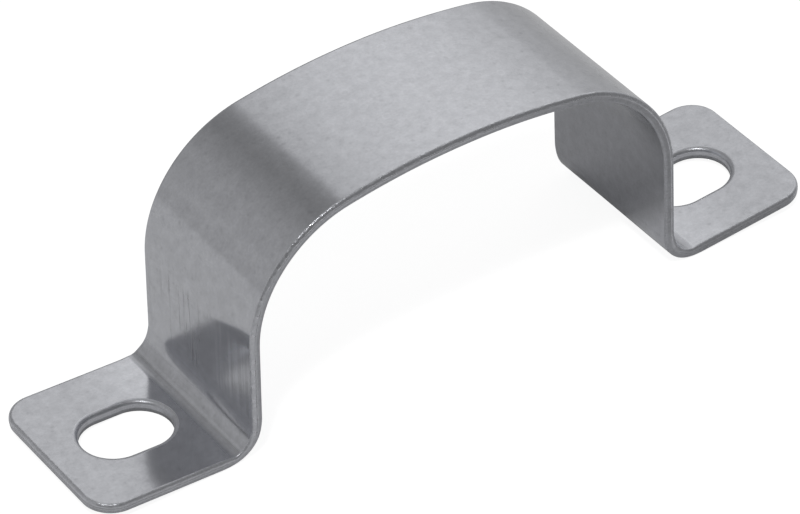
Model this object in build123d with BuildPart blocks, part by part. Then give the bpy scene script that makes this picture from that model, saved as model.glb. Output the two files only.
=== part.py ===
from build123d import *
import os
from math import asin, cos, degrees, radians, sin

# Double pipe saddle: one strip of stainless sheet folded over two pipes that lie side by side.
# X runs along the strip from foot to foot, Y along the pipes and +Z up, away from the wall or
# floor that the saddle is screwed to. The origin lies midway between the feet, on the plane
# that the two foot bends touch. All sizes are in millimetres and degrees.

# Strip
strip_width = 20.0
strip_thickness = 1.2
press_roll = 0.3           # rounding of the outer rim, on the face that the press comes down on
burr_break = 0.2           # chamfer that tumbling leaves on the under rim

# Arch over the pipes
pipe_diameter = 25.0
pipe_count = 2
inside_height = 27.7       # from the foot bends' plane to the underside of the crown
crown_radius = 78.5        # underside of the crown, a shallow arch
shoulder_radius = 13.4     # underside of the round over each outer pipe
leg_lean = 1.2             # each leg's foot stands out from upright by this angle

# Feet
bend_radius = 2.7          # inside the fold between leg and foot
foot_rise = 3.7            # the tip stands up by this angle until the screw pulls it flat
foot_length = 15.4         # flat stretch, from the end of the fold to the tip
corner_radius = 3.4        # in plan, at the two corners of each tip

# Slots
slot_length = 10.4
slot_width = 7.3
slot_setback = 9.4         # from the tip to the middle of the slot
punch_roll = 0.3           # rounding of each slot's upper rim

# The arch's half width is shared between the crown and the shoulder, tangent to each other
half_inside = pipe_diameter * pipe_count / 2
crown_turn = degrees(
    asin((half_inside - shoulder_radius * cos(radians(leg_lean))) / (crown_radius - shoulder_radius))
)
shoulder_turn = 90 - leg_lean - crown_turn
foot_turn = 90 - leg_lean + foot_rise
under_bend_radius = bend_radius + strip_thickness

# What is left of the height after the round stretches is the straight leg
crown_drop = crown_radius * (1 - cos(radians(crown_turn)))
shoulder_drop = shoulder_radius * (cos(radians(crown_turn)) - sin(radians(leg_lean)))
bend_drop = under_bend_radius * (1 - sin(radians(leg_lean)))
leg_length = (inside_height - crown_drop - shoulder_drop - bend_drop) / cos(radians(leg_lean))

with BuildPart() as double_pipe_saddle:
    # Side view of the folded strip: its underside from the crown to one tip, thickened
    # outwards and mirrored
    with BuildSketch(Plane.XZ):
        with BuildLine():
            crown = JernArc((0, inside_height), (1, 0), crown_radius, -crown_turn)
            shoulder = JernArc(crown @ 1, crown % 1, shoulder_radius, -shoulder_turn)
            leg = Line(shoulder @ 1, (shoulder @ 1) + (shoulder % 1) * leg_length)
            bend = JernArc(leg @ 1, leg % 1, under_bend_radius, foot_turn)
            foot = Line(bend @ 1, (bend @ 1) + (bend % 1) * foot_length)
            underside = Wire([crown, shoulder, leg, bend, foot])
            offset(amount=strip_thickness, side=Side.LEFT)
        make_face()
        mirror(about=Plane.YZ)
    extrude(amount=strip_width / 2, both=True)

    # The two corners of each tip, in plan
    tips = double_pipe_saddle.faces().sort_by(Axis.X)
    for tip in (tips[0], tips[-1]):
        fillet(tip.edges().filter_by(Axis.Y, reverse=True), corner_radius)

    # The outline's narrow faces are the ones with an edge straight across the thickness.
    # Their other edges are the rims, upper and under
    across = strip_thickness * 1.01
    narrow_faces = double_pipe_saddle.faces().filter_by(
        lambda face: face.edges().sort_by(SortBy.LENGTH)[0].length < across
    )
    rims = narrow_faces.edges().filter_by(lambda edge: edge.length > across)

    def is_under(edge):
        middle = edge @ 0.5
        return Vertex(abs(middle.X), middle.Z, 0).distance_to(underside) < strip_thickness / 2

    under_rims = rims.filter_by(is_under)
    fillet(rims - under_rims, press_roll)
    chamfer(under_rims, burr_break)

    # The slots go straight down through the feet, the way the screws do
    foot_tip = (foot @ 1).X
    slot_x = foot_tip - slot_setback * cos(radians(foot_rise))
    with BuildSketch() as slots:
        with Locations((-slot_x, 0), (slot_x, 0)):
            SlotOverall(slot_length, slot_width)
    extrude(slots.sketch, amount=inside_height / 2, mode=Mode.SUBTRACT)

    # The punch rolls the rim of each slot on the side that it enters
    punched_faces = double_pipe_saddle.faces().filter_by(
        lambda face: face.inner_wires() and face.normal_at().Z > 0
    )
    upper_rims = ShapeList()
    for face in punched_faces:
        upper_rims += face.inner_wires()[0].edges()
    fillet(upper_rims, punch_roll)

double_pipe_saddle.part.label = "double_pipe_saddle"

os.makedirs("parts", exist_ok=True)
export_step(double_pipe_saddle.part, "parts/double_pipe_saddle.step")
print("inside width", round(2 * half_inside, 2), "inside height", round(inside_height, 2))
print("leg", round(leg_length, 3), "crown turn", round(crown_turn, 3))
print("slot middles at x", round(slot_x, 3), "tips at x", round(foot_tip, 3))
print("box", double_pipe_saddle.part.bounding_box())
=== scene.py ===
# %% [markdown]
# # A double pipe saddle in mill-finish stainless steel
# The real object is one strip of sheet steel. A press blanks it, punches a slot near each end,
# and folds it over two pipes that lie side by side. This lesson dresses the CAD model of that
# strip: first the frame that everything has to fit, then the strip itself as a surface worked
# out with numpy, then the steel, and last the studio and the camera.

# %% Load the frame
import bpy
import math
import numpy as np
from mathutils import Matrix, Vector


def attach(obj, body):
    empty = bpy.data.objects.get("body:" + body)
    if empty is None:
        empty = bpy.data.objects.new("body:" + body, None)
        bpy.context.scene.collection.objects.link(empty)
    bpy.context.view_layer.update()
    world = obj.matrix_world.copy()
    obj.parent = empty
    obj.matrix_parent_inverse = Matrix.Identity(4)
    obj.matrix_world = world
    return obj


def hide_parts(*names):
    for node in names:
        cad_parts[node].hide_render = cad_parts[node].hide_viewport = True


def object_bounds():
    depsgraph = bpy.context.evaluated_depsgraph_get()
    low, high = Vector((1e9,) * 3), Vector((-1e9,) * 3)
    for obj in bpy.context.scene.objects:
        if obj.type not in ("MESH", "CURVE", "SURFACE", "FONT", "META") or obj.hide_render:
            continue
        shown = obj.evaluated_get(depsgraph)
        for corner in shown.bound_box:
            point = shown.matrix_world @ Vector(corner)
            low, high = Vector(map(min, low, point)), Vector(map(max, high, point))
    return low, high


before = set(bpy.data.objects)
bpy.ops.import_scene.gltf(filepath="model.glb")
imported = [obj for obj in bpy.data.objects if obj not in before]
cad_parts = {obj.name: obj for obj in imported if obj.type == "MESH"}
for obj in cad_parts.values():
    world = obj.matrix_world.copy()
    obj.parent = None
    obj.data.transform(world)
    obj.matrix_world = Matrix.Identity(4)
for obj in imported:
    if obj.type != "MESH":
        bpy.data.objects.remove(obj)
cad_low, cad_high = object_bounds()
print("CAD box in metres:", [round(side, 5) for side in cad_high - cad_low])

# %% [markdown]
# ## The sizes that the strip is bent to
# A fitter would measure a few things only: the sheet, the two pipes, the radii of the tool and
# the slots. Everything else follows from them, so only these are written as numbers. Blender
# works in metres here, as the frame does, and `mm` keeps the sizes readable. X runs from foot
# to foot, Y along the pipes and Z up from the plane that the two foot bends touch.

# %% Driving sizes
mm = 0.001

strip_width = cad_high.y - cad_low.y
strip_thickness = 1.2 * mm

pipe_diameter = 25.0 * mm
pipe_count = 2
inside_height = 27.7 * mm
crown_radius = 78.5 * mm                # underside, the shallow arch over both pipes
shoulder_radius = 13.4 * mm             # underside, round each outer pipe
leg_lean = math.radians(1.2)

bend_radius = 2.7 * mm                  # inside the fold between leg and foot
foot_rise = math.radians(3.7)           # the tip stands up until a screw pulls it flat
foot_length = 15.4 * mm
corner_radius = 3.4 * mm

slot_length = 10.25 * mm
slot_width = 7.3 * mm
slot_setback = 9.33 * mm                # from the tip to the middle of the slot
slot_shift = -0.11 * mm                 # the punch stood a little off the middle of the strip

tumbled_out = 0.07 * mm                 # tumbling rolls the rims and swells the cut edges
half_width = strip_width / 2 + tumbled_out
half_sheet = strip_thickness / 2
print("strip:", round(strip_width / mm, 2), "x", round(strip_thickness / mm, 2), "mm")

# %% [markdown]
# ## Folding as a formula
# Seen from the side, half of the strip is five stretches laid end to end: the crown, the
# shoulder, the straight leg, the foot bend and the foot. Each has a length and an angle that
# it turns through, and a straight stretch just turns through nothing. One could draw this
# line and sweep a section along it, but a formula says where any point of the flat blank goes
# once it is folded. Then the slots and the rounded corners can be laid out on the flat blank,
# where they are easy, and fold with it, as they do in the press.

# %% Turns of the rounds, and the leg that is left between them
half_inside = pipe_count * pipe_diameter / 2
crown_turn = math.asin(
    (half_inside - shoulder_radius * math.cos(leg_lean)) / (crown_radius - shoulder_radius)
)
shoulder_turn = math.pi / 2 - leg_lean - crown_turn
bend_turn = math.pi / 2 - leg_lean + foot_rise

height_in_rounds = (
    crown_radius * (1 - math.cos(crown_turn))
    + shoulder_radius * (math.cos(crown_turn) - math.sin(leg_lean))
    + (bend_radius + strip_thickness) * (1 - math.sin(leg_lean))
)
leg_length = (inside_height - height_in_rounds) / math.cos(leg_lean)
print("the rounds take", round(height_in_rounds / mm, 2), "mm of the height")

# %% The five stretches of half a strip
stretch_names = ("crown", "shoulder", "leg", "bend", "foot")
stretch_turn = np.array([-crown_turn, -shoulder_turn, 0.0, bend_turn, 0.0])
stretch_length = np.array([
    (crown_radius + half_sheet) * crown_turn,
    (shoulder_radius + half_sheet) * shoulder_turn,
    leg_length,
    (bend_radius + half_sheet) * bend_turn,
    foot_length,
])
stretch_start = np.concatenate([[0.0], np.cumsum(stretch_length)[:-1]])
half_blank = stretch_length.sum()
foot_start = half_blank - foot_length
bend_start = stretch_start[stretch_names.index("bend")]
for name, length, turn in zip(stretch_names, stretch_length, stretch_turn):
    print(f"{name}: {length / mm:.2f} mm, turns {math.degrees(turn):.1f} degrees")
print("flat blank:", round(2 * half_blank / mm, 2), "mm long")


# %% Where each stretch starts
def chord(length, turn):
    """The straight way across an arc of that length and turn: length times sin(half) / half."""
    return length * np.sinc(turn / (2 * np.pi))


stretch_heading = np.concatenate([[0.0], np.cumsum(stretch_turn)[:-1]])
stretch_chord = chord(stretch_length, stretch_turn)
chord_heading = stretch_heading + stretch_turn / 2
stretch_x = np.concatenate([[0.0], np.cumsum(stretch_chord * np.cos(chord_heading))[:-1]])
stretch_z = np.concatenate([[0.0], np.cumsum(stretch_chord * np.sin(chord_heading))[:-1]])
stretch_z += inside_height + half_sheet
print("stretches start at x in mm:", np.round(stretch_x / mm, 2))


# %% Where a point of the blank goes
def fold(along, across, height):
    """Bends the flat blank. A point's distance along from the middle of the crown picks its
    stretch, and the share of the stretch that lies behind it gives the turn so far. The place
    is the stretch's start plus the chord of that part, and height steps off at right angles
    to the heading. The left half mirrors the right one."""
    distance = np.abs(along)
    k = np.searchsorted(stretch_start, distance, side="right") - 1
    k = np.clip(k, 0, len(stretch_names) - 1)
    run = distance - stretch_start[k]
    turn = stretch_turn[k] * run / stretch_length[k]
    step = chord(run, turn)
    x = stretch_x[k] + step * np.cos(stretch_heading[k] + turn / 2)
    z = stretch_z[k] + step * np.sin(stretch_heading[k] + turn / 2)
    heading = stretch_heading[k] + turn
    x = x - height * np.sin(heading)
    z = z + height * np.cos(heading)
    return np.stack([np.sign(along) * x, across, z], axis=-1)


tip = fold(np.array([half_blank]), np.array([0.0]), np.array([-half_sheet]))[0]
print("tip at x, z in mm:", round(tip[0] / mm, 2), round(tip[2] / mm, 2))

# %% [markdown]
# ## What the press leaves on the sheet
# A pressed strip is never the perfect surface of a drawing. The sheet is a little uneven, so
# a reflected edge runs over it in a slow wave. Both feet are folded a little out of square.
# Where a foot bend squeezes the steel on its inside, the steel escapes sideways and the two
# ends of the bend stand out. One could model each of these by hand, but all are small moves of
# points of the blank, so each is a function of the place on the blank, too.

# %% Unevenness of the sheet
ripple_height = 0.012 * mm
ripple_waves = (
    # wavelength along, wavelength across, phase
    (19.0 * mm, 47.0 * mm, 0.4),
    (11.0 * mm, -23.0 * mm, 2.1),
    (31.0 * mm, 15.0 * mm, 4.0),
)


def ripple(along, across):
    """The sum of slow sine waves that run over the blank at their own slants."""
    waves = [
        np.sin(2 * np.pi * (along / length + across / breadth) + phase)
        for length, breadth, phase in ripple_waves
    ]
    return ripple_height * sum(waves) / len(waves)


print("unevenness up to", round(ripple_height / mm, 3), "mm")

# %% Skew and squeeze of the feet
foot_skew = math.radians(0.9)           # both feet are folded a little out of square
left_pivot = -58.0 * mm                 # places along that the skew leaves where they are
right_pivot = 50.0 * mm

squeeze_share = 0.45                    # how much of the squeeze escapes sideways
squeeze_reach = 1.3 * strip_thickness   # how deep it reaches in from the edge
squeeze_run = 1.4 * strip_thickness     # how softly it starts and ends


def ease(share):
    """A smooth step from 0 to 1, three times the square less twice the cube."""
    share = np.clip(share, 0.0, 1.0)
    return share * share * (3 - 2 * share)


def skew(along):
    """Sideways shift of a foot: the tangent of the skew times the distance from the pivot,
    eased in through the bend."""
    pivot = np.where(along < 0, left_pivot, right_pivot)
    foot_shade_mask = ease((np.abs(along) - bend_start) / (foot_start - bend_start))
    return math.tan(foot_skew) * (along - pivot) * foot_shade_mask


def squeeze(along, across, height):
    """How far a point escapes sideways: the strain at its height in the bend, times the share
    that escapes and the reach, dying away with the distance from the nearer edge."""
    distance = np.abs(along)
    in_bend = ease((distance - bend_start + squeeze_run / 2) / squeeze_run)
    in_bend = in_bend * ease((foot_start + squeeze_run / 2 - distance) / squeeze_run)
    strain = height / (bend_radius + half_sheet)
    fade = np.exp(-(half_width - np.abs(across)) / squeeze_reach)
    return np.sign(across) * in_bend * strain * squeeze_share * squeeze_reach * fade


bulge = squeeze((bend_start + foot_start) / 2, half_width, half_sheet)
print("a bend's ends stand out by", round(bulge / mm, 2), "mm on its inside")

# %% [markdown]
# ## A bend is not an even arc
# A sheet can't go over from a straight leg into a round bend at once, so the start of each bend
# is softened. The left bend was struck harder than the right one: there the nose of the punch
# bit into the upper skin, which runs on flat from the foot and then turns sharply. A second
# fold formula could hold all of this, but it would spoil the simple one. So both are written
# as the small distance that the skin keeps from the even arc.

# %% How a bend departs from its arc
bend_softness = 1.3 * mm                # half the run over which leg and bend blend
flat_run = 0.6 * mm                     # the left foot runs on flat into its bend
struck_run = 1.6 * mm                   # then the bend is struck sharply up to here
struck_turn = math.radians(36)          # and has turned that far


def blend_bend(along):
    """How far the sheet leaves its line where the leg goes over into the bend evenly instead of
    at once. It grows with the cube of the share of the softness that lies behind, and it is
    eased back to nothing by the end of the bend."""
    distance = np.abs(along)
    share = np.clip((distance - bend_start) / bend_softness, -1.0, 1.0)
    rising = (1 + np.minimum(share, 0.0)) ** 3 / 12
    falling = (1 - (1 - np.maximum(share, 0.0)) ** 3) / 12
    eased_back = 1 - ease((distance - bend_start) / (foot_start - bend_start))
    return (rising + falling) * eased_back * bend_softness**2 / (bend_radius + half_sheet)


def sharpen_bend(along):
    """How far the skin lies outside the even arc at the foot's end of the bend. Its curvature
    is nothing, then high, then low, and the arc's own again. Each step in curvature adds half
    its height times the square of the run behind it. The last run is just long enough for
    slope and place to meet the arc again."""
    even = 1 / (bend_radius + half_sheet)
    lag = -even * flat_run
    lead = struck_turn - even * struck_run
    area = lag * flat_run / 2 + (lag + lead) * (struck_run - flat_run) / 2
    slow_run = -2 * area / lead
    high = struck_turn / (struck_run - flat_run)
    low = even - lead / slow_run
    places = (0.0, flat_run, struck_run, struck_run + slow_run)
    steps = (-even, high, low - high, even - low)
    into_bend = foot_start - np.abs(along)
    return sum(
        step * np.maximum(into_bend - place, 0.0) ** 2 / 2 for place, step in zip(places, steps)
    )


measured_places = 200
bend_run = np.linspace(bend_start, foot_start, measured_places)
print("softened by up to", round(blend_bend(bend_run).max() / mm, 2), "mm")
print("struck off the arc by up to", round(np.abs(sharpen_bend(bend_run)).max() / mm, 2), "mm")


# %% Press
def press(blank):
    """The finished place of blank points (along, across, height). What the sheet and its bends
    depart from the drawing adds to the height, and squeeze and skew to the place across. Then
    the point is folded. Only the left bend is struck, and only its upper skin."""
    along, across, height = np.moveaxis(blank, -1, 0)
    bitten = np.where(along < 0, (height / half_sheet + 1) / 2, 0.0)
    uneven = ripple(along, across) + blend_bend(along) + sharpen_bend(along) * bitten
    sideways = squeeze(along, across, height) + skew(along)
    return fold(along, across + sideways, height + uneven)


top = press(np.array([[0.0, 0.0, half_sheet]]))[0, 2]
print("top of the pressed crown in mm:", round(top / mm, 2))

# %% [markdown]
# ## The cut edge
# Shearing leaves four bands on an edge. The sheet is first drawn over into a round roll, then
# the tool burnishes a smooth band, then the steel breaks and leaves a rough, slightly slanting
# one. Tumbling rounds the last rim of the outline, and under the slots a small burr is left. A
# Bevel modifier would round all rims alike, so the section is written down instead, as inset
# and depth, and carried along the outline and round each slot.

# %% Section of a sheared edge
roll_depth = 0.46 * mm
burnish_share = 0.55                    # of the thickness, where the smooth band ends
break_slant = 0.04 * mm
roll_steps = 8
band_steps = 4

burnish_end = burnish_share * strip_thickness
roll = np.linspace(0, np.pi / 2, roll_steps + 1)
band = np.linspace(0, 1, band_steps + 1)[1:]


def sheared_section(roll_inset, break_end, last_inset, last_depth):
    """Inset and depth from the upper skin to the under skin: a quarter of an ellipse, a
    straight band, a slanting band that ends at break_end, and the last rim as it is given."""
    inset = np.concatenate([
        roll_inset * (1 - np.sin(roll)),
        0 * band,
        break_slant * band,
        last_inset,
    ])
    depth = np.concatenate([
        roll_depth * (1 - np.cos(roll)),
        roll_depth + (burnish_end - roll_depth) * band,
        burnish_end + (break_end - burnish_end) * band,
        last_depth,
    ])
    return inset, depth


print("burnished down to", round(burnish_end / mm, 2), "mm")

# %% Sections of the outline and of a slot
outline_roll_inset = 0.36 * mm
outline_rim = 0.34 * mm                 # tumbled under rim of the outline
slot_roll_inset = 0.55 * mm             # a punch draws the steel over further than a shear
burr_height = 0.10 * mm                 # and leaves a burr under each slot
burr_width = 0.10 * mm
rim_steps = 4

rim = np.linspace(0, np.pi / 2, rim_steps + 1)[1:]
outline_inset, outline_depth = sheared_section(
    outline_roll_inset, strip_thickness - outline_rim,
    outline_rim - (outline_rim - break_slant) * np.cos(rim),
    strip_thickness - outline_rim * (1 - np.sin(rim)),
)
slot_inset, slot_depth = sheared_section(
    slot_roll_inset, strip_thickness + burr_height,
    break_slant + burr_width * (1 - np.cos(rim)),
    strip_thickness + burr_height * (1 - np.sin(rim)),
)
print("edge section:", len(outline_inset), "points, of which", roll_steps + 1, "are the roll")

# %% [markdown]
# ## Patches of the blank
# The blank is a plate with two holes, and a plain grid can't have holes. So it is made of
# patches, each a grid of its own: a long band between the feet, a ring from each slot's rim to
# its foot's outline, and narrow strips for the cut edges. Neighbours share their border points
# exactly, which lets one weld close the whole skin. Each patch also knows its place in a flat
# pattern of the strip, which the steel's marks read later on.

# %% Keep the patches
patches = []
mill_finish, sheared = 0, 1             # material slots of the piece


def add_patch(points, places, finish, flip=False):
    """Keeps a grid of blank points (rows, columns, 3), their places in the flat pattern (rows,
    columns, 2) and their material slot. flip turns the faces over."""
    rows, columns = points.shape[:2]
    number = np.arange(rows * columns).reshape(rows, columns)
    quads = np.stack(
        [number[:-1, :-1], number[1:, :-1], number[1:, 1:], number[:-1, 1:]], axis=-1
    )
    quads = quads[..., ::-1] if flip else quads
    slots = np.full(quads.shape[:2], finish)
    patches.append((
        points.reshape(-1, 3), places.reshape(-1, 2), quads.reshape(-1, 4), slots.ravel(),
    ))


def blank_grid(along, across, height):
    """Blank points from three arrays that broadcast to one grid."""
    return np.stack(np.broadcast_arrays(along, across, height), axis=-1)


def skin_places(skin, under):
    """Along and across for the flat pattern. The under skin lies beside the upper one there."""
    return skin[..., :2] + np.array([0.0, strip_width if under else 0.0])


def cut_places(around, depth):
    """Distance along the edge, and depth below the upper skin."""
    return np.stack(np.broadcast_arrays(around[:, None], depth), axis=-1)


print("one edge strip is", len(outline_inset) - 1, "faces deep")

# %% Nodes along and across the strip
longest_step = 0.35 * mm
largest_turn = math.radians(1.6)
columns_across = 44
skin_margin = 0.05 * mm                 # last column before the roll, which keeps the flat flat


def stretch_nodes():
    """Even steps along each stretch up to the foot, short enough for its length and turn."""
    nodes = []
    for start, length, turn in zip(stretch_start[:-1], stretch_length[:-1], stretch_turn[:-1]):
        count = math.ceil(max(length / longest_step, abs(turn) / largest_turn))
        nodes.append(start + length * np.arange(count) / count)
    return np.concatenate(nodes + [[foot_start]])


right_nodes = stretch_nodes()
band_along = np.concatenate([-right_nodes[:0:-1], right_nodes])
inner_share = 1 - skin_margin / half_width
inner_columns = np.linspace(-inner_share, inner_share, columns_across)
share_across = np.concatenate([[-1.0], inner_columns, [1.0]])
print("band grid:", len(band_along), "x", len(share_across), "points")

# %% The band between the feet
band_skins = (
    # height, inset, under
    (half_sheet, outline_inset[0], False),
    (-half_sheet, outline_inset[-1], True),
)
for height, inset, under in band_skins:
    skin = blank_grid(band_along[:, None], (half_width - inset) * share_across, height)
    add_patch(skin, skin_places(skin, under), mill_finish, flip=under)

for side in (-1, 1):
    edge = blank_grid(
        band_along[:, None], side * (half_width - outline_inset), half_sheet - outline_depth
    )
    add_patch(edge, cut_places(band_along, outline_depth), sheared, flip=side < 0)
print("patches so far:", len(patches))

# %% [markdown]
# ## The feet
# A foot's outline is three straight sides and two round corners, moved in by the inset of each
# point of the edge section. The slot is a stadium, all points at one distance from a short
# line. That gives a natural way to spread a ring between the two: each border point looks
# for the nearest point of the short line, and its ring line runs straight towards it, square
# to the slot's rim.

# %% Outline of a foot
side_steps = 20
corner_steps = 14
tip_steps = 22

corner_along = half_blank - corner_radius
corner_across = half_width - corner_radius


def foot_outline(inset):
    """The foot's border moved in by inset, from the near end of the bend round the tip to the
    far end: a side, a quarter circle, the tip, a quarter circle and a side."""
    radius = corner_radius - inset
    side = foot_start + (corner_along - foot_start) * np.arange(side_steps) / side_steps
    swing = np.linspace(0, np.pi / 2, corner_steps + 1)
    tip_line = corner_across * np.linspace(-1, 1, tip_steps + 1)[1:-1]
    along = np.concatenate([
        side,
        corner_along + radius * np.sin(swing),
        np.full(len(tip_line), corner_along + radius),
        corner_along + radius * np.cos(swing),
        side[::-1],
    ])
    across = np.concatenate([
        np.full(len(side), inset - half_width),
        -corner_across - radius * np.cos(swing),
        tip_line,
        corner_across + radius * np.sin(swing),
        np.full(len(side), half_width - inset),
    ])
    return np.stack([along, across], axis=-1)


def foot_border(inset):
    """The outline closed by the line where the foot meets its bend."""
    crossing = (half_width - inset) * share_across[-2:0:-1]
    closing = np.stack([np.full(len(crossing), foot_start), crossing], axis=-1)
    outline = foot_outline(inset)
    return np.concatenate([outline, closing, outline[:1]])


print("a foot's border has", len(foot_border(0.0)) - 1, "points")

# %% The slot seen from the border
slot_radius = slot_width / 2
slot_reach = slot_length / 2 - slot_radius
slot_middle = half_blank - slot_setback

border = foot_border(0.0)
nearest = np.stack([
    np.clip(border[:, 0] - slot_middle, -slot_reach, slot_reach) + slot_middle,
    np.zeros(len(border)),
], axis=-1)
outwards = border - nearest
outwards = outwards / np.linalg.norm(outwards, axis=-1, keepdims=True)


def slot_ring(inset):
    """The slot's rim, moved into the steel by inset."""
    return nearest + (slot_radius + inset) * outwards + np.array([0.0, slot_shift])


def upright_shift(depth):
    """The slots are cut straight down although the feet rise, so a point moves along the foot
    by its height over the under skin times the tangent of the rise."""
    return (strip_thickness - depth) * math.tan(foot_rise)


print("slot:", round(slot_length / mm, 2), "x", round(slot_width / mm, 2), "mm")

# %% Helpers for both feet
slot_pattern_start = 2 * half_blank     # the slots' walls lie beyond the blank in the pattern


def distance_round(line):
    """Distance travelled along a line of points, the sum of its steps up to each point."""
    steps = np.linalg.norm(np.diff(line, axis=0, prepend=line[:1]), axis=-1)
    return np.cumsum(steps)


def turn_over(points, side):
    """The blank's right half for side 1, and its mirror image for side -1."""
    return points * np.array([side, 1, 1])


print("once round a slot:", round(distance_round(slot_ring(0.0))[-1] / mm, 2), "mm")

# %% Skins, slot walls and cut edges of both feet
ring_steps = 14
ring_share = ease(np.linspace(0, 1, ring_steps + 1))[None, :, None]
foot_skins = (
    # depth, slot's inset, outline's inset, flip
    (0.0, slot_inset[0], outline_inset[0], True),
    (strip_thickness, slot_inset[-1], outline_inset[-1], False),
)

for side in (1, -1):
    mirrored = side < 0
    for depth, slot_in, outline_in, flip in foot_skins:
        slot_rim = slot_ring(slot_in) + np.array([upright_shift(depth), 0])
        ring = slot_rim[:, None] * (1 - ring_share) + foot_border(outline_in)[:, None] * ring_share
        skin = turn_over(blank_grid(ring[..., 0], ring[..., 1], half_sheet - depth), side)
        add_patch(skin, skin_places(skin, depth > 0), mill_finish, flip != mirrored)

    lines = np.stack([slot_ring(inset) for inset in slot_inset], axis=1)
    wall = blank_grid(
        lines[..., 0] + upright_shift(slot_depth), lines[..., 1], half_sheet - slot_depth
    )
    around = slot_pattern_start + distance_round(slot_ring(0.0))
    add_patch(turn_over(wall, side), cut_places(around, slot_depth), sheared, mirrored)

    lines = np.stack([foot_outline(inset) for inset in outline_inset], axis=1)
    edge = blank_grid(lines[..., 0], lines[..., 1], half_sheet - outline_depth)
    around = foot_start + distance_round(foot_outline(0.0))
    add_patch(turn_over(edge, side), cut_places(around, outline_depth), sheared, not mirrored)
print("patches:", len(patches))

# %% [markdown]
# ## One closed skin
# The real strip is one piece of metal, so points that lie on the same spot of the blank become
# one vertex. Blender can merge them by distance in a finished mesh, but `np.unique` on rounded
# coordinates does it for the whole blank at once, before it is pressed. Every edge of the
# result must belong to two faces, and the volume should be the CAD solid's, which are the two
# quickest signs of a sound mesh.

# %% Weld and press
weld_distance = 1e-5 * mm

patch_points, patch_places, patch_quads, patch_slots = zip(*patches)
offsets = np.cumsum([0] + [len(points) for points in patch_points[:-1]])
quads = np.concatenate([grid + offset for grid, offset in zip(patch_quads, offsets)])
blank_points = np.concatenate(patch_points)

keys = np.round(blank_points / weld_distance).astype(np.int64)
_, first, welded = np.unique(keys, axis=0, return_index=True, return_inverse=True)
faces = welded.reshape(-1)[quads]
vertices = press(blank_points[first])
print("vertices:", len(vertices), "triangles:", 2 * len(faces))

# %% Is the skin closed, and how much steel does it hold
edges = np.stack([faces, np.roll(faces, -1, axis=1)], axis=-1).reshape(-1, 2)
edge_uses = np.unique(np.sort(edges, axis=1), axis=0, return_counts=True)[1]
a, b, c, d = np.moveaxis(vertices[faces], 1, 0)
volume = ((np.cross(a, b) * c).sum() + (np.cross(a, c) * d).sum()) / 6
print("edges not shared by two faces:", int((edge_uses != 2).sum()))
print("volume:", round(volume / mm**3, 1), "mm3")

# %% [markdown]
# ## The strip in Blender
# The mesh takes all points and faces in one call, and `foreach_set` fills in the rest. The flat
# pattern goes into a UV map, so that marks of the tool can follow the strip round its bends,
# which a pattern in space can't do. The object rides on the body `root` and is shown in place of
# the CAD node, which is hidden.

# %% The strip as a Blender object
strip_mesh = bpy.data.meshes.new("folded_strip")
strip_mesh.from_pydata(vertices.tolist(), [], faces.tolist())
pattern = strip_mesh.uv_layers.new(name="flat_pattern")
flat_places = np.concatenate(patch_places)[quads]
pattern.uv.foreach_set("vector", flat_places.astype(np.float32).ravel())
face_slots = np.concatenate(patch_slots)
strip_mesh.polygons.foreach_set("material_index", face_slots.astype(np.int32))
strip_mesh.polygons.foreach_set("use_smooth", np.ones(len(faces), dtype=bool))
strip_mesh.update()
strip_mesh.validate()

folded_strip = bpy.data.objects.new("folded_strip", strip_mesh)
bpy.context.scene.collection.objects.link(folded_strip)
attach(folded_strip, "root")
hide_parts("double_pipe_saddle")
print(folded_strip.name, "in mm:", [round(side / mm, 2) for side in folded_strip.dimensions])

# %% [markdown]
# ## The steel
# Sheet of this kind leaves the mill pickled and lightly rolled. It mirrors its surroundings,
# a little blurred, under faint clouds and a fine grain. Steel is a metal, so its colour is
# the tint of its mirror image, and all its life comes from small changes in that tint, in
# roughness and in height. Nodes can be joined by hand in the shader editor. Here they are
# written down, and a few helpers keep that short.

# %% Helpers that place a node
def feed(tree, socket, value):
    """Joins another node's output to a socket, or sets a plain value on it."""
    if isinstance(value, bpy.types.NodeSocket):
        tree.links.new(value, socket)
    else:
        socket.default_value = value


def put(tree, kind, settings=None, **sockets):
    """A new node. settings are its properties. A socket's name is written with _ for a space,
    and it takes either a value or another node's output."""
    node = tree.nodes.new(kind)
    for name, value in (settings or {}).items():
        setattr(node, name, value)
    for name, value in sockets.items():
        feed(tree, node.inputs[name.replace("_", " ")], value)
    return node


def math_node(tree, operation, *values):
    """A Math node's output, for one to three values or sockets."""
    node = put(tree, "ShaderNodeMath", {"operation": operation})
    for socket, value in zip(node.inputs, values):
        feed(tree, socket, value)
    return node.outputs[0]


def mix(tree, share, low, high):
    """Goes from low to high as the share goes from 0 to 1."""
    node = put(tree, "ShaderNodeMix", {"data_type": "FLOAT"})
    for number, value in ((0, share), (2, low), (3, high)):
        feed(tree, node.inputs[number], value)
    return node.outputs[0]


print("node helpers ready")

# %% Helpers for masks
def split_place(tree, vector):
    """The X, Y and Z outputs of a place."""
    return put(tree, "ShaderNodeSeparateXYZ", Vector=vector).outputs


def product(tree, first, second):
    """The product of two masks, which holds where both do."""
    return math_node(tree, "MULTIPLY", first, second)


def add_on(tree, value, mask, amount):
    """The value plus the amount times the mask."""
    return math_node(tree, "MULTIPLY_ADD", mask, amount, value)


def distance_from(tree, value, place):
    """How far a value lies from a place, on either side of it."""
    return math_node(tree, "ABSOLUTE", math_node(tree, "SUBTRACT", value, place))


def ramp_between(tree, value, start, end, low=0.0, high=1.0):
    """A smooth step from low to high while value goes from start to end."""
    node = put(
        tree, "ShaderNodeMapRange", {"interpolation_type": "SMOOTHSTEP"},
        Value=value, From_Min=start, From_Max=end, To_Min=low, To_Max=high,
    )
    return node.outputs["Result"]


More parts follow.
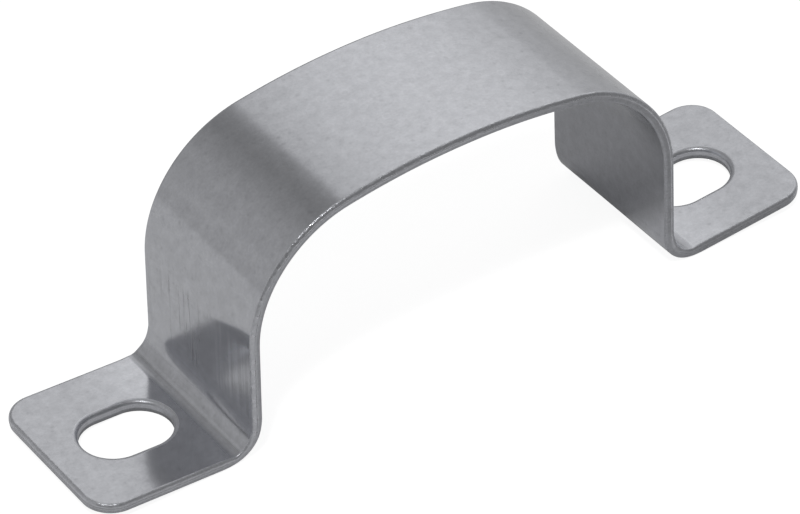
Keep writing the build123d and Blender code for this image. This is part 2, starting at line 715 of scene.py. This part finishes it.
def plateau(tree, value, start, full, ending, over):
    """A mask that rises smoothly from start to full and falls again from ending to over."""
    rising = ramp_between(tree, value, start, full)
    return product(tree, rising, ramp_between(tree, value, ending, over, 1.0, 0.0))


print("mask helpers ready")

# %% Helpers for node groups
def new_group(name, inputs, outputs):
    """An empty node group with named sockets, and its two end nodes."""
    group = bpy.data.node_groups.new(name, "ShaderNodeTree")
    for socket_name, (kind, value) in inputs.items():
        socket = group.interface.new_socket(socket_name, in_out="INPUT", socket_type=kind)
        if value is not None:
            socket.default_value = value
    for socket_name in outputs:
        group.interface.new_socket(socket_name, in_out="OUTPUT", socket_type="NodeSocketFloat")
    given = group.nodes.new("NodeGroupInput").outputs
    return group, given, group.nodes.new("NodeGroupOutput").inputs


def use_group(tree, group, **sockets):
    """The outputs of a node group, placed in a material with its own values."""
    return put(tree, "ShaderNodeGroup", {"node_tree": group}, **sockets).outputs


print("group helpers ready")

# %% [markdown]
# ## Clouded grain
# Pickling leaves soft clouds on the steel, a fine grain and small specks. The skin and the cut
# edge both have them, at other sizes, so they are one node group with its sizes as inputs. It
# puts out plain values, and each material decides what they do to its tint and its roughness.
# A speck is the neighbourhood of a point of a Voronoi texture, and the point's own random
# colour says whether it is one of those that show.

# %% Group: clouded grain
cloud_detail, cloud_roughness = 3.0, 0.62
grain_detail, grain_roughness = 1.0, 0.5


def noise(tree, place, size, detail, roughness):
    """Noise in space that changes over a distance of that size."""
    scale = math_node(tree, "DIVIDE", 1.0, size)
    return put(
        tree, "ShaderNodeTexNoise", {"noise_dimensions": "3D"},
        Vector=place, Scale=scale, Detail=detail, Roughness=roughness,
    ).outputs["Fac"]


clouded_grain, given, result = new_group(
    "clouded_grain",
    {
        "Place": ("NodeSocketVector", None),
        "Cloud Size": ("NodeSocketFloat", 2.5 * mm),
        "Grain Size": ("NodeSocketFloat", 0.25 * mm),
        "Speck Spacing": ("NodeSocketFloat", 1.2 * mm),
        "Speck Share": ("NodeSocketFloat", 0.3),
    },
    ("Clouds", "Grain", "Specks"),
)
clouds = noise(clouded_grain, given["Place"], given["Cloud Size"], cloud_detail, cloud_roughness)
grain = noise(clouded_grain, given["Place"], given["Grain Size"], grain_detail, grain_roughness)
clouded_grain.links.new(clouds, result["Clouds"])
clouded_grain.links.new(grain, result["Grain"])
print("group:", clouded_grain.name)

# %% Specks of the clouded grain
speck_radius = 0.30                     # share of the spacing of the specks

speck_scale = math_node(clouded_grain, "DIVIDE", 1.0, given["Speck Spacing"])
cells = put(
    clouded_grain, "ShaderNodeTexVoronoi", {"voronoi_dimensions": "3D"},
    Vector=given["Place"], Scale=speck_scale, Randomness=1.0,
).outputs
lot = put(clouded_grain, "ShaderNodeSeparateColor", Color=cells["Color"]).outputs["Red"]
kept = math_node(clouded_grain, "LESS_THAN", lot, given["Speck Share"])
off_point = math_node(clouded_grain, "DIVIDE", cells["Distance"], speck_radius)
near_point = math_node(clouded_grain, "SUBTRACT", 1.0, off_point)
specks = product(clouded_grain, ramp_between(clouded_grain, near_point, 0.0, 1.0), kept)
clouded_grain.links.new(specks, result["Specks"])
print("it puts out:", [socket.name for socket in result if socket.name])

# %% [markdown]
# ## Drawn lines
# A tool that slides over steel leaves lines in its own direction, each long and thin. They
# could be drawn as curves, but there are hundreds. Noise that is stretched along one direction
# looks the same, and only its highest parts are kept. The share says how many. This is a group,
# too, because the legs, the bends and the cut edges all have such lines.

# %% Group: drawn lines
line_detail, line_roughness = 2.0, 0.6
line_level = 0.75                       # noise above this is a line when the share is 0
line_fall = 0.5                         # and how far that comes down when the share is 1
line_blend = 0.12

drawn_lines, given, result = new_group(
    "drawn_lines",
    {
        "Place": ("NodeSocketVector", None),
        "Line Length": ("NodeSocketFloat", 6.0 * mm),
        "Line Spacing": ("NodeSocketFloat", 0.3 * mm),
        "Share": ("NodeSocketFloat", 0.3),
    },
    ("Lines",),
)
split = split_place(drawn_lines, given["Place"])
run_share = math_node(drawn_lines, "DIVIDE", split["X"], given["Line Length"])
cross_share = math_node(drawn_lines, "DIVIDE", split["Y"], given["Line Spacing"])
stretched = put(drawn_lines, "ShaderNodeCombineXYZ", X=run_share, Y=cross_share)
streaks = put(
    drawn_lines, "ShaderNodeTexNoise", {"noise_dimensions": "2D"},
    Vector=stretched.outputs["Vector"], Scale=1.0, Detail=line_detail, Roughness=line_roughness,
).outputs["Fac"]
fall = product(drawn_lines, given["Share"], line_fall)
line_floor = math_node(drawn_lines, "SUBTRACT", line_level, fall)
line_top = math_node(drawn_lines, "ADD", line_floor, line_blend)
lines = ramp_between(drawn_lines, streaks, line_floor, line_top)
drawn_lines.links.new(lines, result["Lines"])
print("group:", drawn_lines.name)

# %% [markdown]
# ## Mill finish
# The skin of the sheet takes both groups. The clouds, the grain and a few dark specks read
# Object coordinates, so they run over every side at their true size. They change the tint, and
# where the steel is darker it is a little rougher, too. An image texture could hold all this,
# but it would have to be painted, and it would show its pixels close up.

# %% What both finishes start from
steel_tint = (0.630, 0.639, 0.674)


def new_steel(name):
    """A metallic material in the strip's next slot. Gives its tree, its shader's sockets, the
    place on the object and the place in the flat pattern."""
    steel = bpy.data.materials.new(name)
    steel.use_nodes = True
    folded_strip.data.materials.append(steel)
    tree = steel.node_tree
    shader = tree.nodes["Principled BSDF"].inputs
    shader["Metallic"].default_value = 1.0
    place = put(tree, "ShaderNodeTexCoord").outputs["Object"]
    flat_place = put(tree, "ShaderNodeUVMap", {"uv_map": "flat_pattern"}).outputs["UV"]
    return tree, shader, place, flat_place


def shade_tint(tree, brightness):
    """The steel's colour times a brightness near 1."""
    scaled = put(
        tree, "ShaderNodeVectorMath", {"operation": "SCALE"}, Vector=steel_tint, Scale=brightness
    )
    return scaled.outputs["Vector"]


def contrast(tree, level, amount):
    """Noise lies round one half, so the amount times its distance from there lies round zero."""
    return product(tree, math_node(tree, "SUBTRACT", level, 0.5), amount)


def turned(tree, flat):
    """The flat pattern with X and Y exchanged, for lines that run the other way."""
    return put(tree, "ShaderNodeCombineXYZ", X=flat["Y"], Y=flat["X"]).outputs["Vector"]


print("steel tint:", steel_tint)

# %% Mill finish: clouds, grain and specks
cloud_size = 1.15 * mm
cloud_contrast = 0.34
grain_size = 0.30 * mm
grain_contrast = 0.17
speck_spacing = 1.2 * mm
speck_share = 0.50
speck_depth = 0.11

tree, shader, place, flat_place = new_steel("mill_finish")
skin = use_group(
    tree, clouded_grain,
    Place=place, Cloud_Size=cloud_size, Grain_Size=grain_size,
    Speck_Spacing=speck_spacing, Speck_Share=speck_share,
)
clouds = contrast(tree, skin["Clouds"], cloud_contrast)
grain = contrast(tree, skin["Grain"], grain_contrast)
mottle = math_node(tree, "ADD", clouds, grain)
mottle = add_on(tree, mottle, skin["Specks"], -speck_depth)
print("clouds of", round(cloud_size / mm, 2), "mm, grain of", round(grain_size / mm, 2), "mm")

# %% [markdown]
# ## Dried drops
# The sheet is rinsed after pickling, and drops that dry on it leave faint bright rings. One
# could scatter small discs over the strip, but a Voronoi texture does it alone: the distance
# to its nearest point, less the radius, is nothing on a circle round each point, and the
# point's own random colour picks the few that get a ring.

# %% Mill finish: dried drops
drop_spacing = 3.2 * mm
drop_radius = 0.38 * mm
drop_width = 0.12 * mm
drop_share = 0.35
drop_lift = 0.05
mill_roughness = 0.14
roughness_spread = 0.10                 # how much rougher the steel is where it is darker

drops = put(
    tree, "ShaderNodeTexVoronoi", {"voronoi_dimensions": "2D"},
    Vector=flat_place, Scale=1 / drop_spacing, Randomness=1.0,
).outputs
from_point = product(tree, drops["Distance"], drop_spacing)
off_ring = distance_from(tree, from_point, drop_radius)
lot = put(tree, "ShaderNodeSeparateColor", Color=drops["Color"]).outputs["Green"]
kept = math_node(tree, "LESS_THAN", lot, drop_share)
ring = product(tree, ramp_between(tree, off_ring, 0.0, drop_width, 1.0, 0.0), kept)
mottle = add_on(tree, mottle, ring, drop_lift)
brightness = math_node(tree, "ADD", mottle, 1.0)
rough = add_on(tree, mill_roughness, mottle, -roughness_spread)
print("rings of", round(2 * drop_radius / mm, 2), "mm")

# %% [markdown]
# ## Rubbed and scuffed legs
# The tool that folds the strip slides down the outside of each leg. It blurs the skin there
# and draws fine dark lines, strongest on one track and faint beyond it. A few long scuffs on
# the side of the camera are bright instead. The lines have to follow the strip round its bends,
# so they read the flat pattern, in which X is the distance from the middle of the crown, and
# masks on that distance keep them to the legs.

# %% Mill finish: rubbed legs
rub_from = bend_start - leg_length - 1.0 * mm
rub_to = bend_start - 2.0 * mm
rub_fade = 2.0 * mm
rub_roughness = 0.08                    # how much the rubbing blurs the skin between the lines
drag_length = 12.0 * mm
drag_spacing = 0.55 * mm
drag_share = 0.42
drag_middle = 3.2 * mm                  # across the strip, where the tool rubbed hardest
drag_reach = 4.5 * mm
faint_share = 0.3                       # how strong the drawn lines are beyond that
drag_depth = 0.20                       # how much a drawn line darkens the steel
drag_roughness = 0.08

flat = split_place(tree, flat_place)
from_crown = math_node(tree, "ABSOLUTE", flat["X"])
outer_skin = math_node(tree, "LESS_THAN", flat["Y"], strip_width / 2)
on_leg = plateau(tree, from_crown, rub_from, rub_from + rub_fade, rub_to, rub_to + rub_fade)
on_leg = product(tree, on_leg, outer_skin)
from_track = distance_from(tree, flat["Y"], drag_middle)
rubbed = ramp_between(tree, from_track, drag_reach / 2, drag_reach, 1.0, faint_share)
drag = use_group(
    tree, drawn_lines,
    Place=flat_place, Line_Length=drag_length, Line_Spacing=drag_spacing, Share=drag_share,
)
rub_lines = product(tree, drag["Lines"], product(tree, on_leg, rubbed))
brightness = add_on(tree, brightness, rub_lines, -drag_depth)
rough = add_on(tree, rough, rub_lines, drag_roughness)
rough = add_on(tree, rough, on_leg, rub_roughness)
print("rubbed from", round(rub_from / mm, 1), "to", round((rub_to + rub_fade) / mm, 1), "mm")

# %% Mill finish: bright scuffs
scuff_length = 25.0 * mm
scuff_spacing = 0.5 * mm
scuff_share = 0.50
scuff_from = -2.0 * mm                  # across the strip, on the side of the camera
scuff_full = -4.0 * mm
scuff_lift = 0.22

scuffs = use_group(
    tree, drawn_lines,
    Place=flat_place, Line_Length=scuff_length, Line_Spacing=scuff_spacing, Share=scuff_share,
)
near_side = ramp_between(tree, flat["Y"], scuff_full, scuff_from, 1.0, 0.0)
scuffed = product(tree, product(tree, on_leg, near_side), scuffs["Lines"])
brightness = add_on(tree, brightness, scuffed, scuff_lift)
print("scuffs up to", round(scuff_length / mm), "mm long")

# %% [markdown]
# ## Strained bends
# Bending pulls the grains of the steel apart, so a bend is rougher than the flat skin, most of
# all in the band that the nose of the punch struck. That band is a little brighter, too, and a
# fine painted line runs along it, painted shade on one side and painted highlight on the other,
# for the dark and light edge that the sharp turn of the bend shows. The tool also rolls over the
# bend and leaves faint lines across it. A bend could be a material of its own, but then its ends
# would show as seams, so masks fade one finish into the other.

# %% Mill finish: roughened bends
bend_fade = 0.4 * mm
crease_roughness = 0.07                 # the whole bend is rougher by this
strained_roughness = 0.28               # and the struck band by this
strained_from = foot_start - 1.9 * mm
strained_to = foot_start - 1.2 * mm
strained_end = foot_start - flat_run
struck_lift = 0.07

on_bend = plateau(
    tree, from_crown, bend_start - bend_fade, bend_start, strained_end, strained_end + bend_fade
)
struck = product(tree, on_bend, ramp_between(tree, from_crown, strained_from, strained_to))
brightness = add_on(tree, brightness, struck, struck_lift)
rough = add_on(tree, rough, on_bend, crease_roughness)
rough = add_on(tree, rough, struck, strained_roughness - crease_roughness)
print("struck band:", round((strained_end - strained_from) / mm, 2), "mm wide")

# %% Mill finish: painted shade and highlight lines along the struck band, and lines across the bend
# painted shade and painted highlight: a dark line and a bright line along the struck band
painted_edge_lines = (
    # place, how much brighter
    (foot_start - 1.55 * mm, -0.12),
    (foot_start - 1.95 * mm, 0.10),
)
painted_line_width = 0.30 * mm
streak_length = 9.0 * mm
streak_spacing = 0.45 * mm
streak_share = 0.5
streak_depth = 0.05

for mark, painted_line_lift in painted_edge_lines:
    off_painted_line = distance_from(tree, from_crown, mark)
    painted_line_mask = ramp_between(tree, off_painted_line, 0.0, painted_line_width, 1.0, 0.0)
    brightness = add_on(tree, brightness, painted_line_mask, painted_line_lift)
rolled = use_group(
    tree, drawn_lines, Place=turned(tree, flat),
    Line_Length=streak_length, Line_Spacing=streak_spacing, Share=streak_share,
)
streaked = product(tree, rolled["Lines"], on_bend)
brightness = add_on(tree, brightness, streaked, -streak_depth)
print("marks of the nose:", len(painted_edge_lines))

# %% [markdown]
# ## Feet, and the finished skin
# The feet get painted shade: their colour darkens towards the tips, for the dimmer light that
# they mirror low down beside the arch. With that the skin is complete. Its grain also goes into a
# Bump node, at a depth of less than a thousandth of a millimetre, which is all that a mirror
# needs to shimmer.

# %% Mill finish: painted shade on the feet, colour, roughness and relief
foot_painted_shade = 0.16
foot_shade_fade = 8.0 * mm
grain_depth = 0.0004 * mm

# painted shade: the colour darkens over each foot towards its tip
foot_shade_mask = ramp_between(tree, from_crown, foot_start, foot_start + foot_shade_fade)
brightness = add_on(tree, brightness, foot_shade_mask, -foot_painted_shade)
relief = add_on(tree, skin["Grain"], rub_lines, -1.0)
bump = put(tree, "ShaderNodeBump", Height=relief, Distance=grain_depth, Strength=1.0)
tree.links.new(shade_tint(tree, brightness), shader["Base Color"])
tree.links.new(rough, shader["Roughness"])
tree.links.new(bump.outputs["Normal"], shader["Normal"])
print("materials:", [material.name for material in folded_strip.data.materials])

# %% [markdown]
# ## The sheared edge
# The bands of the cut differ in finish as well as in shape, and the depth below the upper skin
# tells them apart. The roll is smooth but never quite even, so a small lamp glints from it in
# dashes. The burnished band has fine strokes in the direction of the cut, and the broken band
# is matt and rough. Each band could be a material of its own, but one material with masks on
# the depth lets them run into each other, as they do in real steel.

# %% Sheared edge: where each band lies
band_blend = 0.08 * mm
pattern_gap = 1.0 * mm                  # guard in the pattern before the walls of the slots
slot_late = 0.20 * mm                   # the punched steel breaks that much deeper

tree, shader, place, flat_place = new_steel("sheared_edge")
flat = split_place(tree, flat_place)
depth = flat["Y"]
on_slot = math_node(tree, "GREATER_THAN", flat["X"], slot_pattern_start - pattern_gap)
on_roll = ramp_between(tree, depth, roll_depth - band_blend, roll_depth + band_blend, 1.0, 0.0)
off_roll = math_node(tree, "SUBTRACT", 1.0, on_roll)
break_depth = add_on(tree, depth, on_slot, -slot_late)
broken = ramp_between(tree, break_depth, burnish_end - band_blend, burnish_end + band_blend)
print("roll down to", round(roll_depth / mm, 2), "mm, smooth to", round(burnish_end / mm, 2), "mm")

# %% Sheared edge: colour
roll_wave = 0.9 * mm                    # the roll is uneven over this distance
cut_grain_size = 0.15 * mm
cut_contrast = 0.32                     # tumbling leaves the cut steel more uneven than the skin
stroke_length = 1.5 * mm
stroke_spacing = 0.16 * mm
stroke_share = 0.5
stroke_depth = 0.05
roll_burnish_and_painted_lift = 0.10                        # the tool burnishes what it draws over, and the lift also paints light onto the dark line that the roll mirrors
break_dulling = 0.12
slot_break_and_painted_shade = 0.25

cut = use_group(tree, clouded_grain, Place=place, Cloud_Size=roll_wave, Grain_Size=cut_grain_size)
striae = use_group(
    tree, drawn_lines, Place=turned(tree, flat),
    Line_Length=stroke_length, Line_Spacing=stroke_spacing, Share=stroke_share,
)
strokes = product(tree, striae["Lines"], off_roll)
clouds = contrast(tree, cut["Clouds"], cloud_contrast)
grain = contrast(tree, cut["Grain"], cut_contrast)
brightness = math_node(tree, "ADD", math_node(tree, "ADD", clouds, grain), 1.0)
brightness = add_on(tree, brightness, strokes, -stroke_depth)
# partly painted light: the lighter roll also lightens the dark line that it mirrors
brightness = add_on(tree, brightness, on_roll, roll_burnish_and_painted_lift)
brightness = add_on(tree, brightness, broken, -break_dulling)
# partly painted shade: the slots' broken band is darker still, for its fracture and for the shade
# under the sheet
brightness = add_on(tree, brightness, product(tree, broken, on_slot), -slot_break_and_painted_shade)
tree.links.new(shade_tint(tree, brightness), shader["Base Color"])
print("strokes every", round(stroke_spacing / mm, 2), "mm")

# %% [markdown]
# ## Glints on the roll
# Tumbling polishes the high spots of the outline's roll, and a small lamp glints from them. So
# the roll is smoother wherever its clouds are high. The pads hold the feet still, which keeps
# their roll duller, and the slots' rolls were never polished.

# %% Sheared edge: roughness
roll_roughness = 0.40
slot_roll_roughness = 0.36
burnish_roughness = 0.28
break_roughness = 0.5
polish_window = (0.53, 0.59)            # cloud levels between which a spot becomes polished
roll_polish = 0.18                      # how much smoother such a spot is
foot_polish = 0.25                      # share of that left on the feet

slot_roll = product(tree, on_slot, on_roll)
outline_roll = math_node(tree, "SUBTRACT", on_roll, slot_roll)
from_crown = math_node(tree, "ABSOLUTE", flat["X"])
polished = product(tree, ramp_between(tree, cut["Clouds"], *polish_window), outline_roll)
off_foot = ramp_between(tree, from_crown, bend_start, foot_start, 1.0, foot_polish)
polished = product(tree, polished, off_foot)
rough = add_on(tree, burnish_roughness, on_roll, roll_roughness - burnish_roughness)
rough = add_on(tree, rough, slot_roll, slot_roll_roughness - roll_roughness)
rough = add_on(tree, rough, polished, -roll_polish)
rough = add_on(tree, rough, broken, break_roughness - burnish_roughness)
tree.links.new(rough, shader["Roughness"])
print("polished spots have a roughness of", round(roll_roughness - roll_polish, 2))

# %% Sheared edge: relief
roll_relief = 0.13 * mm
slot_smoothing = 0.85                   # the slots' rolls are that much smoother than the outline's
cut_relief = 0.002 * mm
stroke_relief = 0.4                     # depth of a stroke, as a share of that

wavy = product(tree, add_on(tree, 1.0, on_slot, -slot_smoothing), on_roll)
waves = product(tree, cut["Clouds"], wavy)
roll_bump = put(tree, "ShaderNodeBump", Height=waves, Distance=roll_relief, Strength=1.0)
relief = add_on(tree, product(tree, cut["Grain"], broken), strokes, -stroke_relief)
bump = put(
    tree, "ShaderNodeBump", Height=relief, Distance=cut_relief, Strength=1.0,
    Normal=roll_bump.outputs["Normal"],
)
tree.links.new(bump.outputs["Normal"], shader["Normal"])
print("materials:", [material.name for material in folded_strip.data.materials])

# %% [markdown]
# ## The studio
# Polished steel has no look of its own: it shows the room. Every flat stretch of the strip
# mirrors one direction, so the bands on the shoulders are a picture of the studio, from the
# soft panel overhead, over its edge and a dim gap, to the wall on the left and the table.
# Panels of real size could stand round the object. A world that is a function of direction
# does the same with less noise, as brightness over the angle round the Y axis.

# %% World: brightness over the angle
studio_levels = (
    # angle round Y from +X over +Z, level
    (-180.0, 0.479),
    (-90.0, 0.438),
    (0.0, 0.448),
    (26.0, 0.536),
    (40.0, 0.770),
    (54.0, 0.814),
    (68.0, 0.722),
    (74.0, 0.629),
    (79.0, 0.485),
    (83.0, 0.314),
    (90.0, 0.253),
    (101.0, 0.216),
    (118.0, 0.294),
    (135.0, 0.366),
    (150.0, 0.376),
    (161.0, 0.412),
    (180.0, 0.376),
)

world = bpy.data.worlds.new("studio")
bpy.context.scene.world = world
world.use_nodes = True
tree = world.node_tree
tree.nodes.clear()
way = put(tree, "ShaderNodeTexCoord").outputs["Generated"]
direction = split_place(tree, way)
angle = math_node(tree, "ARCTAN2", direction["Z"], direction["X"])
turn_share = math_node(tree, "MULTIPLY_ADD", angle, 1 / (2 * math.pi), 0.5)
dome = put(tree, "ShaderNodeValToRGB", Fac=turn_share)
stops = dome.color_ramp.elements
for number, (degrees, level) in enumerate(studio_levels):
    position = degrees / 360 + 0.5
    stop = stops[number] if number < len(stops) else stops.new(position)
    stop.position = position
    stop.color = (level, level, level, 1.0)
levels = [level for degrees, level in studio_levels]
print("world levels from", min(levels), "to", max(levels))

# %% World: the two dim sides
camera_side = 0.165                     # level of the dim room behind the camera
camera_window = (-0.40, 0.30)           # along Y, between which it gives way to the studio
far_side = 0.258                        # and of the gap beyond the far end of the table
far_window = (0.70, 0.76)

in_studio = ramp_between(tree, direction["Y"], *camera_window)
beyond = ramp_between(tree, direction["Y"], *far_window)
level = mix(tree, in_studio, camera_side, dome.outputs["Color"])
level = mix(tree, beyond, level, far_side)
print("dim sides:", camera_side, "and", far_side)

# %% [markdown]
# ## White for the camera
# The object is shown on white, but a white room would wash out all that the steel mirrors. A
# Light Path node tells what a ray is for. The camera's own rays see pure white, and rays that
# the steel throws back see a small share of it on top of the studio. Light that falls on the
# strip stays as it is, so the white costs no extra lamp.

# %% World: white for the camera
mirror_share = 0.03                     # how much of the white background the steel shows
white = (1.0, 1.0, 1.0, 1.0)


def background_share(tree):
    """1 for a ray of the camera, and the mirror share for one that metal or glass sends on."""
    rays = put(tree, "ShaderNodeLightPath").outputs
    share = add_on(tree, rays["Is Camera Ray"], rays["Is Glossy Ray"], mirror_share)
    return add_on(tree, share, rays["Is Transmission Ray"], mirror_share)


strength = mix(tree, background_share(tree), level, 1.0)
sky = put(tree, "ShaderNodeBackground", Color=white, Strength=strength)
put(tree, "ShaderNodeOutputWorld", Surface=sky.outputs["Background"])
print("the steel shows", mirror_share, "of the white")

# %% [markdown]
# ## The floor
# The strip stands on a pale table, and the steel mirrors that table, too. It is a plain square,
# but its material answers each kind of ray in its own way. The camera sees an even glow with a
# weak shading under it, so all that is left of the table is a faint shadow. Bounced light and
# mirror rays see the table's tone with three painted shadows on it, as its image in the steel
# tells. Screens round the table could cast those shadows, but painted spots are easier to place.

# %% Floor
floor_size = 200.0 * mm

floor_corners = np.array([[-1, -1, 0], [1, -1, 0], [1, 1, 0], [-1, 1, 0]]) * floor_size / 2
floor_mesh = bpy.data.meshes.new("floor")
floor_mesh.from_pydata(floor_corners.tolist(), [], [(0, 1, 2, 3)])
floor = bpy.data.objects.new("floor", floor_mesh)
bpy.context.scene.collection.objects.link(floor)
print("floor:", round(floor_size, 3), "m square")

# %% Tone of the floor
floor_tone = 0.79
# painted shadows on the table: spots where the tone that mirror rays and bounced light see is
# darker
painted_shadow_spots = (
    # share taken, then in mm along X and along Y: where it starts, is full, stops being full, ends
    (0.45, (24.0, 30.0, 90.0, 95.0), (-95.0, -90.0, -11.0, -9.5)),
    (0.45, (-33.0, -32.0, -29.5, -29.0), (-6.0, -5.0, 0.4, 1.9)),
    (0.31, (10.0, 14.0, 30.0, 32.0), (-4.7, -0.8, -0.5, 1.0)),
)

paper = bpy.data.materials.new("pale_floor")
floor.data.materials.append(paper)
paper.use_nodes = True
tree = paper.node_tree
tree.nodes.clear()
on_floor = split_place(tree, put(tree, "ShaderNodeTexCoord").outputs["Object"])
tone_with_painted_shadows = floor_tone
for share, along_x, along_y in painted_shadow_spots:
    in_x = plateau(tree, on_floor["X"], *(place * mm for place in along_x))
    in_y = plateau(tree, on_floor["Y"], *(place * mm for place in along_y))
    spot = product(tree, product(tree, in_x, in_y), share)
    tone_with_painted_shadows = product(tree, tone_with_painted_shadows, math_node(tree, "SUBTRACT", 1.0, spot))
print("dim spots:", len(painted_shadow_spots))

# %% Floor: what each ray sees
camera_tone = 0.25                      # weak shading for the camera, which leaves a faint shadow
camera_white = 0.912                    # and the glow that lifts it to white

camera_ray = put(tree, "ShaderNodeLightPath").outputs["Is Camera Ray"]
tone = mix(tree, camera_ray, tone_with_painted_shadows, camera_tone)
lift = product(tree, background_share(tree), camera_white)
matt = put(tree, "ShaderNodeBsdfDiffuse", Color=tone)
glow = put(tree, "ShaderNodeEmission", Color=white, Strength=lift)
summed = tree.nodes.new("ShaderNodeAddShader")
tree.links.new(matt.outputs["BSDF"], summed.inputs[0])
tree.links.new(glow.outputs["Emission"], summed.inputs[1])
put(tree, "ShaderNodeOutputMaterial", Surface=summed.outputs["Shader"])
print("material:", paper.name)

# %% [markdown]
# ## The lamps
# Two suns shine from the same side. The small one is mirrored by the rolled rims, where it
# makes the fine glints that tell a real edge from a drawn one. The wide one is hidden from
# mirror rays: it only lights the table, softens the shadow, and so reaches the steel by way of
# the table. One lamp of a middle size would make the glints broad and the shadow hard.

# %% Aim a lamp or camera
def looking(back, roll=0.0):
    """The rotation of a lamp or camera whose own Z axis points along back: its X axis is level,
    then both turn by roll."""
    back = back / np.linalg.norm(back)
    right = np.cross([0.0, 0.0, 1.0], back)
    right = right / np.linalg.norm(right)
    up = np.cross(back, right)
    rolled_right = right * math.cos(roll) + up * math.sin(roll)
    rolled_up = up * math.cos(roll) - right * math.sin(roll)
    return np.stack([rolled_right, rolled_up, back], axis=-1)


def add_aimed(name, data, back, position, roll=0.0):
    """A new object in the scene with the given data, aimed and placed by its matrix."""
    matrix = np.eye(4)
    matrix[:3, :3] = looking(back, roll)
    matrix[:3, 3] = position
    aimed = bpy.data.objects.new(name, data)
    bpy.context.scene.collection.objects.link(aimed)
    aimed.matrix_world = Matrix(matrix.tolist())
    return aimed


print("aiming helpers ready")

# %% Lamps
lamp_direction = np.array([-0.31, -0.32, 0.89])
glint_energy, glint_angle = 0.38, math.radians(3.0)
soft_energy, soft_angle = 0.57, math.radians(8.0)


def sun(name, energy, angle):
    """A sun lamp that shines from the lamp direction."""
    light = bpy.data.lights.new(name, "SUN")
    light.energy = energy
    light.angle = angle
    return add_aimed(name, light, lamp_direction, lamp_direction)


key_lamp = sun("key_lamp", glint_energy, glint_angle)
soft_lamp = sun("soft_lamp", soft_energy, soft_angle)
soft_lamp.visible_glossy = False
print("lamps:", key_lamp.name, glint_energy, "and", soft_lamp.name, soft_energy)

# %% [markdown]
# ## The camera
# The strip is seen from half a metre away through a long lens, which keeps its lines nearly
# parallel. The outline of the object fixes all of it: the direction from the slant of the
# strip, the distance from how much the far end shrinks, and a slight roll, because a camera
# never stands quite level. The lens is given in pixels and turned into millimetres.

# %% Camera
camera_azimuth = math.radians(-33.32)
camera_elevation = math.radians(38.49)
camera_roll = math.radians(-1.755)
camera_distance = 481.4 * mm
camera_target = np.array([-3.27, -2.50, 10.26]) * mm
photo_width = 800
focal_pixels = 4700
sensor_width = 36.0                     # millimetres, as Blender gives it
nearest_seen = 10.0 * mm

camera_data = bpy.data.cameras.new("camera")
camera_data.sensor_fit = "HORIZONTAL"
camera_data.sensor_width = sensor_width
camera_data.lens = sensor_width * focal_pixels / photo_width
camera_data.clip_start = nearest_seen
back = np.array([
    math.sin(camera_azimuth) * math.cos(camera_elevation),
    -math.cos(camera_azimuth) * math.cos(camera_elevation),
    math.sin(camera_elevation),
])
camera = add_aimed(
    "camera", camera_data, back, camera_target + camera_distance * back, camera_roll
)
bpy.context.scene.camera = camera
bpy.context.scene.view_settings.view_transform = "Standard"
print("lens:", camera_data.lens, "mm")
